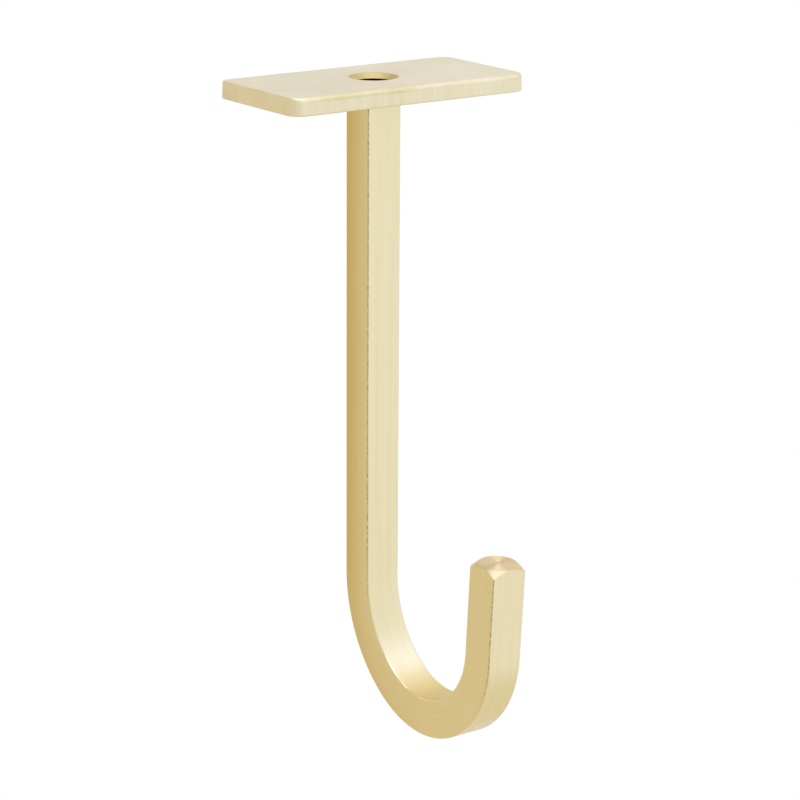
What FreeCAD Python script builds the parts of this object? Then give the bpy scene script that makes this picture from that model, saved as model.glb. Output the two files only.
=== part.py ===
import FreeCAD, Part
import math
import os

# Ceiling hook: a flat brass plate that lies against the ceiling and a square brass bar, brazed to the
# plate's underside and bent to a J. The origin is the mouth of the tapped hole in the bar's upper end, in
# the plane where the bar meets the plate. +Z is up, X runs along the plate's length, and the hook opens
# toward -Y.

# Plate, from flat bar with rolled long edges
plate_length = 71.2
plate_width = 35.8
plate_thickness = 4.5
plate_corner_r = 4.0
plate_roll_r = 1.5
plate_under_r = 0.5
plate_end_lean = 0.4
plate_hole_d = 8.2
countersink_d = 12.7
countersink_depth = 1.35

# Bar and its bends, measured on the bar's centre line
bar_side = 10.0
bar_edge_r = 0.45
bend_start_z = -127.75
lead_bend_r = 31.5
lead_bend_deg = 57.0
main_bend_r = 25.0
bend_total_deg = 176.4
tip_straight = 25.4

# Tip, turned flat with a conical chamfer that takes off the square's corners
tip_disc_d = 9.7
tip_chamfer_deg = 38.0
tip_turned_length = 3.0

# Tapped hole in the bar's upper end, drilled to tapping size with a drill-point floor
thread_drill_d = 5.0
thread_depth = 14.0
drill_point_deg = 118.0

# Length by which a cutting shape passes the face it cuts
overrun = 1.0


def rounded_rectangle(length, width, radius, z):
    """Closed wire at height z, centred on the Z axis, with its length along X."""
    box = Part.makeBox(length, width, 1, FreeCAD.Vector(-length / 2, -width / 2, z))
    upright = [e for e in box.Edges if abs(e.tangentAt(e.FirstParameter).z) > 0.5]
    base = min(box.makeFillet(radius, upright).Faces, key=lambda f: f.CenterOfMass.z)
    return base.OuterWire


def long_edges(shape, z):
    """Edges of a bar that run along X at height z."""
    return [e for e in shape.Edges if abs(e.CenterOfMass.z - z) < 1e-6 and e.BoundBox.YLength < 1e-6]


def flat_bar():
    """Flat bar, longer than the plate, with wide rolled upper edges and eased lower edges."""
    length = plate_length + 2 * overrun
    corner = FreeCAD.Vector(-length / 2, -plate_width / 2, 0)
    bar = Part.makeBox(length, plate_width, plate_thickness, corner)
    bar = bar.makeFillet(plate_roll_r, long_edges(bar, plate_thickness))
    return bar.makeFillet(plate_under_r, long_edges(bar, 0))


def plate_outline():
    """Block that trims the flat bar: rounded corners, and ends that lean in toward the ceiling."""
    lean = plate_end_lean / plate_thickness
    crown = plate_thickness + overrun
    lower = rounded_rectangle(plate_length + 2 * lean * overrun, plate_width, plate_corner_r, -overrun)
    upper = rounded_rectangle(plate_length - 2 * lean * crown, plate_width, plate_corner_r, crown)
    return Part.makeLoft([lower, upper], True, True)


def plate_bore():
    """Through hole with its countersink at the ceiling side, carried on past the top face."""
    hole_r = plate_hole_d / 2
    widening = (countersink_d / 2 - hole_r) / countersink_depth
    cone_r = countersink_d / 2 + widening * overrun
    cone_foot = FreeCAD.Vector(0, 0, plate_thickness - countersink_depth)
    through = Part.makeCylinder(hole_r, plate_thickness + 2 * overrun, FreeCAD.Vector(0, 0, -overrun))
    return through.fuse(Part.makeCone(hole_r, cone_r, countersink_depth + overrun, cone_foot))


def top_plate():
    return flat_bar().common(plate_outline()).cut(plate_bore())


def bend_point(centre_y, centre_z, radius, degrees):
    """Point of the centre line at an angle turned from straight down, about a bend's centre."""
    angle = math.radians(degrees)
    return FreeCAD.Vector(0, centre_y + radius * math.cos(angle), centre_z - radius * math.sin(angle))


def centre_line():
    """Bar's centre line, with the tip's end point and its outward direction."""
    top = FreeCAD.Vector(0, 0, 0)
    start = FreeCAD.Vector(0, 0, bend_start_z)
    lead_mid = bend_point(-lead_bend_r, bend_start_z, lead_bend_r, lead_bend_deg / 2)
    lead_end = bend_point(-lead_bend_r, bend_start_z, lead_bend_r, lead_bend_deg)
    step = bend_point(0, 0, lead_bend_r - main_bend_r, lead_bend_deg)
    main_y = step.y - lead_bend_r
    main_z = step.z + bend_start_z
    main_mid = bend_point(main_y, main_z, main_bend_r, (lead_bend_deg + bend_total_deg) / 2)
    main_end = bend_point(main_y, main_z, main_bend_r, bend_total_deg)
    turned = math.radians(bend_total_deg)
    direction = FreeCAD.Vector(0, -math.sin(turned), -math.cos(turned))
    end = main_end + direction * tip_straight
    path = Part.Wire([
        Part.makeLine(top, start),
        Part.Arc(start, lead_mid, lead_end).toShape(),
        Part.Arc(lead_end, main_mid, main_end).toShape(),
        Part.makeLine(main_end, end),
    ])
    return path, end, direction


def tip_waste(end, direction):
    """Metal turned off the tip: everything outside the cone that narrows to the end disc."""
    back = end - direction * tip_turned_length
    cone_base_r = tip_disc_d / 2 + tip_turned_length / math.tan(math.radians(tip_chamfer_deg))
    round_blank = Part.makeCylinder(cone_base_r, tip_turned_length, back, direction)
    return round_blank.cut(Part.makeCone(cone_base_r, tip_disc_d / 2, tip_turned_length, back, direction))


def thread_hole():
    """Blind hole down the bar's axis from its upper end, ending in a drill point."""
    radius = thread_drill_d / 2
    point = radius / math.tan(math.radians(drill_point_deg / 2))
    bore = Part.makeCylinder(radius, thread_depth + overrun, FreeCAD.Vector(0, 0, -thread_depth))
    return bore.fuse(Part.makeCone(0, radius, point, FreeCAD.Vector(0, 0, -thread_depth - point)))


def hook_bar():
    path, end, direction = centre_line()
    section = Part.Face(rounded_rectangle(bar_side, bar_side, bar_edge_r, 0))
    bar = path.makePipe(section)
    return bar.cut(tip_waste(end, direction)).cut(thread_hole())


os.makedirs("parts", exist_ok=True)
top_plate().exportStep("parts/top_plate.step")
hook_bar().exportStep("parts/hook_bar.step")
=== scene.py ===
from math import atan2, cos, hypot, pi, radians, sin, tan

import bmesh
import bpy
from mathutils import Matrix, Vector


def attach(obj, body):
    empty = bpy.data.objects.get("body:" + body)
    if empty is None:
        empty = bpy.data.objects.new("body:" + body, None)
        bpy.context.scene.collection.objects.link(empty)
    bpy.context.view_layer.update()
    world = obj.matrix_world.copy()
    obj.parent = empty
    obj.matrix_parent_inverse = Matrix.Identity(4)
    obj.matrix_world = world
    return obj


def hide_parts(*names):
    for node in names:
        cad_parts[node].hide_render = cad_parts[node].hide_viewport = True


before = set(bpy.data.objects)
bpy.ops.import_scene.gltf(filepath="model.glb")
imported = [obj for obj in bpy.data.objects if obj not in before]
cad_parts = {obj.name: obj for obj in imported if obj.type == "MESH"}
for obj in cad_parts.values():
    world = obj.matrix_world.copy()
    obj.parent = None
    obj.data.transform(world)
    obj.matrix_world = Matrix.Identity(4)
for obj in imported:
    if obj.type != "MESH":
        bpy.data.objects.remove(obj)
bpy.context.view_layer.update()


# Plate. A flat brass bar with rolled long edges, cut to length, then ground to round corners and crisp
# ends that lean in a little toward the ceiling. Its countersunk hole lets the hanger stud through.
plate_length, plate_width, plate_thickness = 0.0712, 0.0358, 0.0045
plate_corner = 0.0040
plate_roll = 0.0015
plate_end_break = 0.0003
plate_under_break = 0.0005
plate_end_lean = 0.0004
plate_hole_r = 0.0041
countersink_r, countersink_depth, countersink_burr = 0.00635, 0.00135, 0.00012
cone_foot = plate_thickness - countersink_depth


def next_ring(bm, ring):
    """Extrudes a closed ring of edges in place, and returns the new ring's edges and points."""
    made = bmesh.ops.extrude_edge_only(bm, edges=ring)["geom"]
    points = [g for g in made if isinstance(g, bmesh.types.BMVert)]
    known = set(points)
    edges = [g for g in made if isinstance(g, bmesh.types.BMEdge) and known.issuperset(g.verts)]
    return edges, points


def finish_piece(bm, name, materials, node_name):
    """Makes the closed piece that stands for a node, smooth up to its real corners, riding on the root."""
    bmesh.ops.recalc_face_normals(bm, faces=bm.faces[:])
    mesh = bpy.data.meshes.new(name)
    bm.to_mesh(mesh)
    bm.free()
    mesh.shade_smooth()
    mesh.set_sharp_from_angle(angle=radians(32))
    for material in materials:
        mesh.materials.append(material)
    piece = bpy.data.objects.new(name, mesh)
    bpy.context.scene.collection.objects.link(piece)
    flats = piece.modifiers.new("flat faces", "WEIGHTED_NORMAL")
    flats.keep_sharp = True
    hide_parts(node_name)
    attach(piece, "root")


bm = bmesh.new()
bmesh.ops.create_grid(bm, x_segments=1, y_segments=1, size=0.5)
bmesh.ops.scale(bm, vec=(plate_length, plate_width, 1), verts=bm.verts)
bmesh.ops.bevel(bm, geom=bm.verts[:], offset=plate_corner, offset_type="OFFSET", affect="VERTICES",
                segments=14, profile=0.5, material=-1)
bmesh.ops.subdivide_edges(bm, edges=[e for e in bm.edges if e.calc_length() > plate_corner], cuts=23)
bmesh.ops.delete(bm, geom=bm.faces[:], context="FACES_ONLY")
outline = bm.verts.layers.float_vector.new("outline")
for point in bm.verts:
    point[outline] = point.co


def lay_course(points, break_along, break_across, turn, crown):
    """Sets a ring of the plate's rim on its edge rounding, turned from flat (0) to upright (pi / 2)."""
    half_x = plate_length / 2 - plate_corner
    half_y = plate_width / 2 - plate_corner
    for point in points:
        edge = point[outline].copy()
        inner = Vector((max(-half_x, min(half_x, edge.x)), max(-half_y, min(half_y, edge.y)), 0))
        out = (edge - inner).normalized()
        radius = break_along * out.y ** 2 + break_across * out.x ** 2
        rise = radius * (1 - sin(turn) if crown else 1 - cos(turn))
        point.co = edge - out * radius * (1 - cos(turn) if crown else 1 - sin(turn))
        point.co.z = plate_thickness - rise if crown else rise
        point.co.x -= out.x * plate_end_lean * abs(out.x) * point.co.z / plate_thickness


def lay_hole(points, radius, height):
    """Sets a ring of points on a circle about the hole's axis, keeping each point's bearing."""
    for point in points:
        bearing = atan2(point[outline].y, point[outline].x)
        point.co = (radius * cos(bearing), radius * sin(bearing), height)


ring, points = bm.edges[:], bm.verts[:]
foot_ring = ring
lay_course(points, plate_under_break, plate_end_break, 0, False)
for step in range(1, 4):
    ring, points = next_ring(bm, ring)
    lay_course(points, plate_under_break, plate_end_break, step / 3 * pi / 2, False)
for step in range(7):
    ring, points = next_ring(bm, ring)
    lay_course(points, plate_roll, plate_end_break, step / 6 * pi / 2, True)
ring, points = next_ring(bm, ring)
lay_hole(points, countersink_r + countersink_burr, plate_thickness)
outside = set(bm.faces)
for radius, height in ((countersink_r, plate_thickness - countersink_burr / 2),
                       (plate_hole_r + countersink_burr, cone_foot + countersink_burr / 2),
                       (plate_hole_r, cone_foot - countersink_burr),
                       (plate_hole_r, 0)):
    ring, points = next_ring(bm, ring)
    lay_hole(points, radius, height)
for face in set(bm.faces) - outside:
    face.material_index = 1
bmesh.ops.bridge_loops(bm, edges=foot_ring + ring)


def linear(colour):
    """sRGB hex to the linear colour that a shader takes."""
    channels = [int(colour[i:i + 2], 16) / 255 for i in (1, 3, 5)]
    return [c / 12.92 if c <= 0.04045 else ((c + 0.055) / 1.055) ** 2.4 for c in channels] + [1.0]


def node(tree, kind, inputs=None, **settings):
    """Adds a shader node with its settings; inputs are socket values, or the outputs linked to them."""
    made = tree.nodes.new("ShaderNode" + kind)
    for name, value in settings.items():
        setattr(made, name, value)
    for socket, value in (inputs or {}).items():
        if isinstance(value, bpy.types.NodeSocket):
            tree.links.new(value, made.inputs[socket])
        else:
            made.inputs[socket].default_value = value
    return made


# Satin brass: linished, so the top shows fine lines along the plate, and the edges show the grinding belt's
# short upright scratches, both drawn a few times too coarse, to show. Clouding breaks up the reflection, and
# the rolled edge is painted a patchy, deeper yellow, as painted shade.
satin_brass = bpy.data.materials.new("satin_brass")
satin_brass.use_nodes = True
tree = satin_brass.node_tree
tree.nodes.clear()
place = node(tree, "TexCoord").outputs["Object"]
facing = node(tree, "SeparateXYZ", {0: node(tree, "NewGeometry").outputs["Normal"]}).outputs["Z"]
upward = node(tree, "Math", {0: facing}, operation="ABSOLUTE").outputs[0]
is_flat = node(tree, "MapRange", {"Value": upward, "From Min": 0.5, "From Max": 0.95}).outputs[0]
long_lines = node(tree, "Mapping", {"Vector": place, "Scale": (1 / 0.020, 1 / 0.0004, 1 / 0.0004)})
belt_lines = node(tree, "Mapping", {"Vector": place, "Scale": (1 / 0.0007, 1 / 0.0007, 1 / 0.012)})
top_grain = node(tree, "TexNoise", {"Vector": long_lines.outputs[0], "Scale": 1.0, "Detail": 3.0}).outputs[0]
edge_grain = node(tree, "TexNoise", {"Vector": belt_lines.outputs[0], "Scale": 1.0, "Detail": 2.0}).outputs[0]
grain = node(tree, "Mix", {"Factor": is_flat, "A": edge_grain, "B": top_grain}).outputs[0]
cloud = node(tree, "TexNoise", {"Vector": place, "Scale": 1 / 0.016, "Detail": 2.0}).outputs[0]
shade = node(tree, "Math", {0: grain, 1: cloud}, operation="ADD").outputs[0]
tone = node(tree, "MapRange", {"Value": shade, "From Min": 0.7, "From Max": 1.3}).outputs[0]
# The edges are painted a lighter brass than the flat top and bottom: lit and shaded copies of one brass, as
# painted light and shade.
edge_lit_tone = node(tree, "Mix", {0: tone, 6: linear("#E6DFC0"), 7: linear("#ECE5CA")},
               data_type="RGBA").outputs[2]
flat_shaded_tone = node(tree, "Mix", {0: tone, 6: linear("#D9D0B0"), 7: linear("#E1D8BC")},
              data_type="RGBA").outputs[2]
colour = node(tree, "Mix", {0: is_flat, 6: edge_lit_tone, 7: flat_shaded_tone}, data_type="RGBA").outputs[2]
# The rolled edge, found by how far it slants, is painted a patchy, deeper yellow: painted shade.
past_edge = node(tree, "MapRange", {"Value": facing, "From Min": 0.02, "From Max": 0.3}).outputs[0]
short_of_top = node(tree, "MapRange", {"Value": facing, "From Min": 0.998, "From Max": 0.93}).outputs[0]
roll_shade = node(tree, "Math", {0: past_edge, 1: short_of_top}, operation="MULTIPLY").outputs[0]
patchy = node(tree, "MapRange", {"Value": cloud, "From Min": 0.4, "From Max": 0.6,
                                 "To Min": 0.6, "To Max": 0.15}).outputs[0]
roll_shade = node(tree, "Math", {0: roll_shade, 1: patchy}, operation="MULTIPLY").outputs[0]
colour = node(tree, "Mix", {0: roll_shade, 6: colour, 7: linear("#D0C58C")}, data_type="RGBA").outputs[2]
gloss = node(tree, "MapRange", {"Value": grain, "From Min": 0.3, "From Max": 0.7,
                                "To Min": 0.60, "To Max": 0.50}).outputs[0]
relief = node(tree, "Bump", {"Strength": 0.08, "Distance": 0.00003, "Height": grain})
surface = node(tree, "BsdfPrincipled", {"Base Color": colour, "Metallic": 1.0, "Roughness": gloss,
                                        "Normal": relief.outputs[0]})
node(tree, "OutputMaterial", {"Surface": surface.outputs[0]})

# Drilled brass: the countersink is yellow and dull from the cutter's chatter, and the hole below it is
# painted near black, as painted shade.
drilled_brass = bpy.data.materials.new("drilled_brass")
drilled_brass.use_nodes = True
tree = drilled_brass.node_tree
tree.nodes.clear()
place = node(tree, "TexCoord").outputs["Object"]
height = node(tree, "SeparateXYZ", {0: place}).outputs["Z"]
clear_of_hole_shade = node(tree, "MapRange", {"Value": height, "From Min": cone_foot + 0.0001,
                                  "From Max": cone_foot + 0.0002}).outputs[0]
chatter = node(tree, "TexNoise", {"Vector": place, "Scale": 1 / 0.0006, "Detail": 2.0}).outputs[0]
bright = node(tree, "Mix", {0: chatter, 6: linear("#BAA763"), 7: linear("#D0C283")},
              data_type="RGBA").outputs[2]
# Below the countersink the hole is painted near black: painted shade.
colour = node(tree, "Mix", {0: clear_of_hole_shade, 6: linear("#140E05"), 7: bright}, data_type="RGBA").outputs[2]
surface = node(tree, "BsdfPrincipled", {"Base Color": colour, "Metallic": 1.0, "Roughness": 0.55})
node(tree, "OutputMaterial", {"Surface": surface.outputs[0]})

finish_piece(bm, "ceiling_plate", [satin_brass, drilled_brass], "top_plate")


# Hook bar. Square brass bar with slightly eased edges, bent cold to a J that opens toward the front. Its tip
# is turned flat in a lathe, with a conical chamfer, and its upper end is drilled, tapped and brazed on.
bar_side, bar_edge = 0.010, 0.00045
bend_start = -0.12775
lead_radius, lead_turn = 0.0315, radians(57)
main_radius, whole_turn = 0.025, radians(176.4)
tip_straight = 0.0254
tip_disc_r, tip_chamfer, tip_burr = 0.00485, radians(38), 0.0001
lead_centre = Vector((0, -lead_radius, bend_start))
main_centre = lead_centre + (lead_radius - main_radius) * Vector((0, cos(lead_turn), -sin(lead_turn)))
tip_way = Vector((0, -sin(whole_turn), -cos(whole_turn)))
tip_out = Vector((0, cos(whole_turn), -sin(whole_turn)))
tip_root = main_centre + main_radius * tip_out
tip_end = tip_root + tip_way * tip_straight
post_run = -bend_start
lead_run = post_run + lead_radius * lead_turn
bend_run = lead_run + main_radius * (whole_turn - lead_turn)

bm = bmesh.new()
bmesh.ops.create_grid(bm, x_segments=1, y_segments=1, size=bar_side / 2)
bmesh.ops.bevel(bm, geom=bm.verts[:], offset=bar_edge, offset_type="OFFSET", affect="VERTICES",
                segments=5, profile=0.5, material=-1)
bmesh.ops.subdivide_edges(bm, edges=[e for e in bm.edges if e.calc_length() > bar_side / 2], cuts=15)
bmesh.ops.delete(bm, geom=bm.faces[:], context="FACES_ONLY")
top_ring = bm.edges[:]
ring, points = next_ring(bm, top_ring)
bmesh.ops.translate(bm, verts=points, vec=(0, 0, bend_start))
for centre, turn, steps in ((lead_centre, lead_turn, 24), (main_centre, whole_turn - lead_turn, 48)):
    swept = bmesh.ops.spin(bm, geom=ring + points, cent=centre, axis=(-1, 0, 0), dvec=(0, 0, 0), angle=turn,
                           steps=steps, use_merge=False, use_duplicate=False)["geom_last"]
    points = [g for g in swept if isinstance(g, bmesh.types.BMVert)]
    ring = [g for g in swept if isinstance(g, bmesh.types.BMEdge)]
ring, points = next_ring(bm, ring)
for point in points:
    spoke = point.co - tip_root
    reach = hypot(spoke.x, spoke.dot(tip_out))
    drop = max(0, reach - tip_disc_r) * tan(tip_chamfer)
    point.co += tip_way * (tip_straight - drop)

# Each point keeps its place in the straight bar before bending: across, out from the centre line, and along.
along_bar = bm.verts.layers.float_vector.new("along_bar")
for point in bm.verts:
    about_lead = point.co - lead_centre
    about_main = point.co - main_centre
    lead_angle = atan2(-about_lead.z, about_lead.y)
    main_angle = atan2(-about_main.z, about_main.y)
    from_root = point.co - tip_root
    if point.co.z >= bend_start - 1e-6 and point.co.y > lead_centre.y:
        out, run = point.co.y, -point.co.z
    elif from_root.dot(tip_way) > -1e-6 and point.co.y < main_centre.y:
        out, run = from_root.dot(tip_out), bend_run + from_root.dot(tip_way)
    elif lead_angle <= lead_turn + 1e-6:
        out = hypot(about_lead.y, about_lead.z) - lead_radius
        run = post_run + lead_radius * lead_angle
    else:
        out = hypot(about_main.y, about_main.z) - main_radius
        run = lead_run + main_radius * (main_angle - lead_turn)
    point[along_bar] = (point.co.x, out, run)
bar_faces = set(bm.faces)


def lay_circle(points, centre, way, out, radius, depth):
    """Sets a ring of points on a circle about the bar's axis, keeping each point's bearing."""
    for point in points:
        bearing = atan2(point[along_bar].y, point[along_bar].x)
        across, forth = radius * cos(bearing), radius * sin(bearing)
        point.co = centre + way * depth + Vector((across, 0, 0)) + out * forth
        point[along_bar].x, point[along_bar].y = across, forth


for radius, depth in ((tip_disc_r + tip_burr, -tip_burr * tan(tip_chamfer)), (tip_disc_r - tip_burr, 0),
                      (tip_disc_r * 0.5, 0), (tip_disc_r * 0.1, 0)):
    ring, points = next_ring(bm, ring)
    lay_circle(points, tip_end, tip_way, tip_out, radius, depth)
bmesh.ops.edgeloop_fill(bm, edges=ring)
for face in set(bm.faces) - bar_faces:
    face.material_index = 1

# Thread. An M6 thread cut in the bar's upper end: the tap has left a chamfered mouth, turns of 1 mm pitch
# and the drill's cone at the bottom.
thread_crest_r, thread_root_r, thread_pitch = 0.0025, 0.0030, 0.001
thread_depth, mouth_depth = 0.014, 0.0004
point_depth = thread_crest_r / tan(radians(59))
outside = set(bm.faces)
bar_top, bar_axis, bar_back = Vector((0, 0, 0)), Vector((0, 0, 1)), Vector((0, 1, 0))
ring = top_ring
for radius, depth in ((thread_root_r, 0), (thread_crest_r, -mouth_depth)):
    ring, points = next_ring(bm, ring)
    lay_circle(points, bar_top, bar_axis, bar_back, radius, depth)
thread_steps = 6 * round((thread_depth - mouth_depth) / thread_pitch)
for step in range(1, thread_steps + 1):
    ring, points = next_ring(bm, ring)
    depth = mouth_depth + (thread_depth - mouth_depth) * step / thread_steps
    fade = min(1, (depth - mouth_depth) / thread_pitch, (thread_depth - depth) / thread_pitch)
    for point in points:
        bearing = atan2(point[along_bar].y, point[along_bar].x)
        phase = (depth / thread_pitch + bearing / (2 * pi)) % 1
        radius = thread_crest_r + (thread_root_r - thread_crest_r) * fade * (1 - abs(2 * phase - 1))
        point.co = (radius * cos(bearing), radius * sin(bearing), -depth)
ring, points = next_ring(bm, ring)
bmesh.ops.pointmerge(bm, verts=points, merge_co=(0, 0, -thread_depth - point_depth))
for face in set(bm.faces) - outside:
    face.material_index = 2

# Brushed brass: pulled through an abrasive along its length, so fine lines follow the bar round its bends.
# They are drawn a few times too coarse, to show. The sides are painted yellower and darker than the front and
# the back, as painted shade.
brushed_brass = bpy.data.materials.new("brushed_brass")
brushed_brass.use_nodes = True
tree = brushed_brass.node_tree
tree.nodes.clear()
run = node(tree, "Attribute", attribute_name="along_bar").outputs["Vector"]
fine_lines = node(tree, "Mapping", {"Vector": run, "Scale": (1 / 0.0003, 1 / 0.0003, 1 / 0.030)})
broad_lines = node(tree, "Mapping", {"Vector": run, "Scale": (1 / 0.0016, 1 / 0.0016, 1 / 0.060)})
fine = node(tree, "TexNoise", {"Vector": fine_lines.outputs[0], "Scale": 1.0, "Detail": 3.0}).outputs[0]
broad = node(tree, "TexNoise", {"Vector": broad_lines.outputs[0], "Scale": 1.0, "Detail": 2.0}).outputs[0]
grain = node(tree, "Math", {0: fine, 1: broad}, operation="ADD").outputs[0]
tone = node(tree, "MapRange", {"Value": grain, "From Min": 0.6, "From Max": 1.4}).outputs[0]
# The sides are painted yellower and darker than the front and the back: painted shade.
face_lit_tone = node(tree, "Mix", {0: tone, 6: linear("#E6DBB4"), 7: linear("#ECE3C0")},
                data_type="RGBA").outputs[2]
side_shaded_tone = node(tree, "Mix", {0: tone, 6: linear("#E3D6A8"), 7: linear("#E9DCB0")},
               data_type="RGBA").outputs[2]
off_line = node(tree, "SeparateXYZ", {0: run})
outward, along = off_line.outputs["Y"], off_line.outputs["Z"]
across = node(tree, "Math", {0: off_line.outputs["X"]}, operation="ABSOLUTE").outputs[0]
forth = node(tree, "Math", {0: outward}, operation="ABSOLUTE").outputs[0]
is_side = node(tree, "MapRange", {"Value": across, "From Min": bar_side / 2 - 0.0003,
                                  "From Max": bar_side / 2 - 0.0001}).outputs[0]
colour = node(tree, "Mix", {0: is_side, 6: face_lit_tone, 7: side_shaded_tone}, data_type="RGBA").outputs[2]

# The post is painted browner toward its back edge, most of all on the sides, as painted shade, and this fades
# out round the bend.
to_back = node(tree, "MapRange", {"Value": outward, "From Min": -bar_side / 2,
                                  "From Max": bar_side / 2}).outputs[0]
on_post = node(tree, "MapRange", {"Value": along, "From Min": lead_run + 0.021,
                                  "From Max": post_run - 0.003}).outputs[0]
depth_of_shade = node(tree, "MapRange", {"Value": is_side, "To Min": 0.22, "To Max": 0.75}).outputs[0]
back_edge_shade = node(tree, "Math", {0: to_back, 1: on_post}, operation="MULTIPLY").outputs[0]
back_edge_shade = node(tree, "Math", {0: back_edge_shade, 1: depth_of_shade}, operation="MULTIPLY").outputs[0]
colour = node(tree, "Mix", {0: back_edge_shade, 6: colour, 7: linear("#CAAD5A")}, data_type="RGBA").outputs[2]

# The inside of the bend, where the load hangs, is painted a deeper gold, as painted shade.
inside = node(tree, "MapRange", {"Value": outward, "From Min": 0.0001 - bar_side / 2,
                                 "From Max": -bar_side / 2, "To Max": 0.75}).outputs[0]
to_seat = node(tree, "MapRange", {"Value": along, "From Min": lead_run - 0.003,
                                  "From Max": lead_run + 0.013}).outputs[0]
past_seat = node(tree, "MapRange", {"Value": along, "From Min": bend_run - 0.003,
                                    "From Max": bend_run - 0.023}).outputs[0]
seat_shade = node(tree, "Math", {0: to_seat, 1: past_seat}, operation="MULTIPLY").outputs[0]
seat_shade = node(tree, "Math", {0: seat_shade, 1: inside}, operation="MULTIPLY").outputs[0]
colour = node(tree, "Mix", {0: seat_shade, 6: colour, 7: linear("#DFBF66")}, data_type="RGBA").outputs[2]

# The eased edges are burnished. A broken dark line follows the front edges of both straights, on the half of
# each edge that turns to the side, with its flecks drawn too coarse, to show.
inmost = node(tree, "Math", {0: across, 1: forth}, operation="MINIMUM").outputs[0]
is_corner = node(tree, "MapRange", {"Value": inmost, "From Min": bar_side / 2 - bar_edge,
                                    "From Max": bar_side / 2 - bar_edge * 0.7}).outputs[0]
on_shank = node(tree, "MapRange", {"Value": along, "From Min": post_run + 0.017,
                                   "From Max": post_run - 0.003}).outputs[0]
on_tip = node(tree, "MapRange", {"Value": along, "From Min": bend_run - 0.016,
                                 "From Max": bend_run}).outputs[0]
is_inner = node(tree, "Math", {0: outward, 1: 0.0}, operation="LESS_THAN").outputs[0]
front_edge = node(tree, "Mix", {"Factor": is_inner, "A": on_tip, "B": on_shank}).outputs[0]
lopsided = node(tree, "Math", {0: across, 1: forth}, operation="SUBTRACT").outputs[0]
side_half = node(tree, "MapRange", {"Value": lopsided, "From Min": -0.00025,
                                    "From Max": -0.00015}).outputs[0]
flecks = node(tree, "TexNoise", {"Vector": run, "Scale": 1 / 0.0012, "Detail": 2.0}).outputs[0]
broken = node(tree, "MapRange", {"Value": flecks, "From Min": 0.35, "From Max": 0.65, "To Min": 0.1,
                                 "To Max": 0.65}).outputs[0]
dark_edge_line = node(tree, "Math", {0: front_edge, 1: side_half}, operation="MULTIPLY").outputs[0]
dark_edge_line = node(tree, "Math", {0: dark_edge_line, 1: is_corner}, operation="MULTIPLY").outputs[0]
dark_edge_line = node(tree, "Math", {0: dark_edge_line, 1: broken}, operation="MULTIPLY").outputs[0]
colour = node(tree, "Mix", {0: dark_edge_line, 6: colour, 7: linear("#7A6C3C")}, data_type="RGBA").outputs[2]
gloss = node(tree, "MapRange", {"Value": fine, "From Min": 0.3, "From Max": 0.7,
                                "To Min": 0.40, "To Max": 0.30}).outputs[0]
gloss = node(tree, "Mix", {"Factor": is_corner, "A": gloss, "B": 0.12}).outputs[0]
relief = node(tree, "Bump", {"Strength": 0.15, "Distance": 0.00003, "Height": fine})
surface = node(tree, "BsdfPrincipled", {"Base Color": colour, "Metallic": 1.0, "Roughness": gloss,
                                        "Normal": relief.outputs[0]})
node(tree, "OutputMaterial", {"Surface": surface.outputs[0]})

# Turned brass: the lathe tool's rings run round the tip's end and its chamfer, so the reflection spreads out
# from the axis and light gathers in a bow tie. The rings are drawn about three times too coarse, to show.
ring_spacing = 0.00028
turned_brass = bpy.data.materials.new("turned_brass")
turned_brass.use_nodes = True
tree = turned_brass.node_tree
tree.nodes.clear()
run = node(tree, "Attribute", attribute_name="along_bar").outputs["Vector"]
off_line = node(tree, "SeparateXYZ", {0: run})
sideways = node(tree, "CombineXYZ", {0: off_line.outputs["X"]}).outputs[0]
outward = node(tree, "VectorMath", {0: tip_out, "Scale": off_line.outputs["Y"]}, operation="SCALE").outputs[0]
spoke = node(tree, "VectorMath", {0: sideways, 1: outward}, operation="ADD").outputs[0]
off_axis = node(tree, "VectorMath", {0: spoke}, operation="LENGTH").outputs["Value"]
rings = node(tree, "Math", {0: off_axis, 1: 2 * pi / ring_spacing}, operation="MULTIPLY").outputs[0]
groove = node(tree, "Math", {0: rings}, operation="SINE").outputs[0]
relief = node(tree, "Bump", {"Strength": 0.12, "Distance": 0.00003, "Height": groove})
surface = node(tree, "BsdfPrincipled", {"Base Color": linear("#E2CD9D"), "Metallic": 1.0, "Roughness": 0.38,
                                        "Anisotropic": 0.9, "Tangent": spoke, "Normal": relief.outputs[0]})
node(tree, "OutputMaterial", {"Surface": surface.outputs[0]})

# Cut brass: the tap's bright flanks, dulled by cutting oil.
cut_brass = bpy.data.materials.new("cut_brass")
cut_brass.use_nodes = True
tree = cut_brass.node_tree
tree.nodes.clear()
place = node(tree, "TexCoord").outputs["Object"]
oil = node(tree, "TexNoise", {"Vector": place, "Scale": 1 / 0.002, "Detail": 2.0}).outputs[0]
colour = node(tree, "Mix", {0: oil, 6: linear("#A88A4C"), 7: linear("#D9C080")}, data_type="RGBA").outputs[2]
surface = node(tree, "BsdfPrincipled", {"Base Color": colour, "Metallic": 1.0, "Roughness": 0.35})
node(tree, "OutputMaterial", {"Surface": surface.outputs[0]})

finish_piece(bm, "bent_bar", [brushed_brass, turned_brass, cut_brass], "hook_bar")


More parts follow.
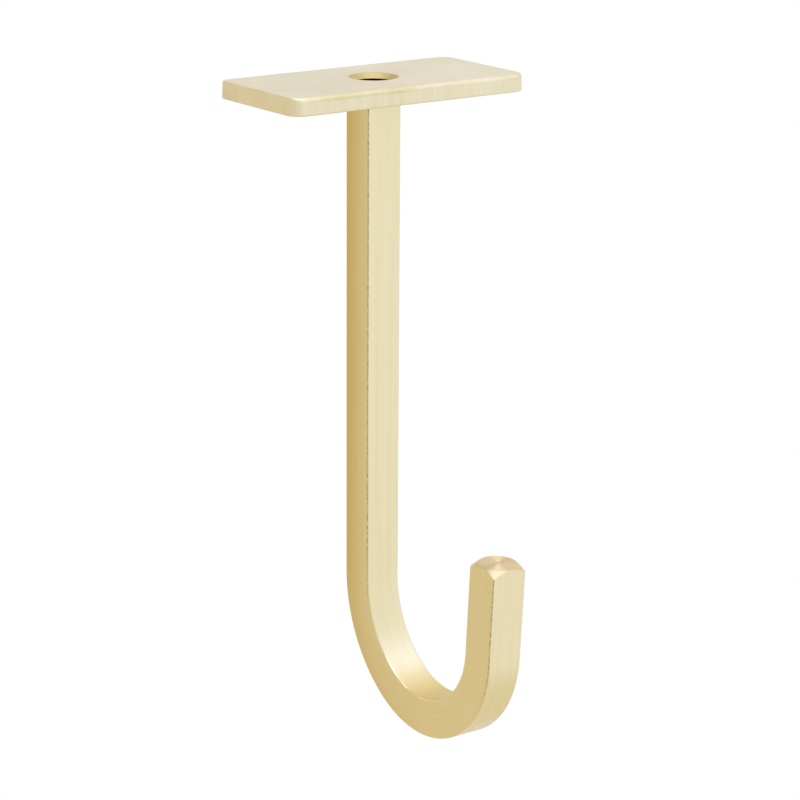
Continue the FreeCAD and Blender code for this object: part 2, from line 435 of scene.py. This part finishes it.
# Studio. An even white room with a skylight, a softbox and a floor that glows as white as the room. It is a
# room's height below the ceiling, too far off to show a shadow. A cream screen curves round the left and the
# back, and a cream sheet lies low in front. The camera sees neither, and the brass shows them as deeper gold.
screen_reach = 2.0
screen_core, screen_rim = 0.6 * screen_reach, -0.1 * screen_reach
sheet_drop, sheet_lead, sheet_size = 0.9, 0.4, 0.75
floor_drop, floor_lead, floor_size = 2.4, 0.0, 12.0
lamp_reach = 1.2
screen_light, rim_light = (0.84, 0.75, 0.585, 1), (0.84, 0.87, 1.0, 1)
sheet_light, room_light = (0.86, 0.77, 0.60, 1), (1, 1, 1, 1)
screen_way = Vector((-0.75, 0.60, -0.28)).normalized()


def stage_card(bm, name, in_sight):
    """Makes a card that the brass reflects, in the camera's sight or not, and returns its node tree."""
    mesh = bpy.data.meshes.new(name)
    bm.to_mesh(mesh)
    bm.free()
    card = bpy.data.objects.new(name, mesh)
    card.visible_camera = in_sight
    bpy.context.scene.collection.objects.link(card)
    material = bpy.data.materials.new(name)
    material.use_nodes = True
    material.node_tree.nodes.clear()
    mesh.materials.append(material)
    return material.node_tree


bm = bmesh.new()
bmesh.ops.create_uvsphere(bm, u_segments=64, v_segments=32, radius=screen_reach,
                          matrix=screen_way.to_track_quat("Z", "Y").to_matrix().to_4x4())
open_side = [point for point in bm.verts if point.co.dot(screen_way) < screen_rim]
bmesh.ops.delete(bm, geom=open_side, context="VERTS")
tree = stage_card(bm, "cream_screen", False)
place = node(tree, "TexCoord").outputs["Object"]
reach = node(tree, "VectorMath", {0: place, 1: screen_way}, operation="DOT_PRODUCT").outputs["Value"]
to_rim = node(tree, "MapRange", {"Value": reach, "From Min": screen_core, "From Max": screen_rim}).outputs[0]
glow = node(tree, "Mix", {0: to_rim, 6: screen_light, 7: rim_light}, data_type="RGBA").outputs[2]
shine = node(tree, "Emission", {"Color": glow, "Strength": 1.0}).outputs[0]
node(tree, "OutputMaterial", {"Surface": shine})

for name, drop, lead, size, colour, in_sight in (
        ("cream_sheet", sheet_drop, sheet_lead, sheet_size, sheet_light, False),
        ("white_floor", floor_drop, floor_lead, floor_size, room_light, True)):
    bm = bmesh.new()
    bmesh.ops.create_grid(bm, x_segments=1, y_segments=1, size=size)
    bmesh.ops.translate(bm, verts=bm.verts, vec=(0, -lead, -drop))
    tree = stage_card(bm, name, in_sight)
    shine = node(tree, "Emission", {"Color": colour, "Strength": 1.0}).outputs[0]
    node(tree, "OutputMaterial", {"Surface": shine})

room = bpy.data.worlds.new("studio")
bpy.context.scene.world = room
room.use_nodes = True
tree = room.node_tree
tree.nodes.clear()
white = node(tree, "Background", {"Color": room_light, "Strength": 1.0}).outputs[0]
node(tree, "OutputWorld", {"Surface": white})

for name, way, size, energy, colour in (
        ("softbox", Vector((0.55, -0.38, 0.74)), 0.8, 0.8, (0.5, 0.5, 1.0)),
        ("skylight", Vector((0, 0, 1)), 1.16, 8.0, (0.62, 0.65, 1.0))):
    light = bpy.data.lights.new(name, "AREA")
    light.size = size
    light.energy = energy
    light.color = colour
    lamp = bpy.data.objects.new(name, light)
    aim = way.to_track_quat("Z", "Y").to_matrix().to_4x4()
    lamp.matrix_world = Matrix.Translation(way.normalized() * lamp_reach) @ aim
    bpy.context.scene.collection.objects.link(lamp)

# Camera at the photograph's place, looking down on the plate from the front left.
eye = Vector((-0.37290, -0.53246, 0.11013))
heading, dip, roll = radians(-35.6377), radians(16.3386), radians(0.3655)
ahead = Vector((-sin(heading) * cos(dip), cos(heading) * cos(dip), -sin(dip)))
level = Vector((cos(heading), sin(heading), 0))
crown = level.cross(ahead)
right = level * cos(roll) + crown * sin(roll)
above = crown * cos(roll) - level * sin(roll)
focal_pixels, photo_pixels = 2593.38, 800
lens = bpy.data.cameras.new("camera")
lens.sensor_width = 36
lens.lens = focal_pixels / photo_pixels * lens.sensor_width
lens.clip_start = 0.01
camera = bpy.data.objects.new("camera", lens)
camera.matrix_world = Matrix.Translation(eye) @ Matrix((right, above, -ahead)).transposed().to_4x4()
bpy.context.scene.collection.objects.link(camera)
bpy.context.scene.camera = camera
bpy.context.scene.view_settings.view_transform = "Standard"
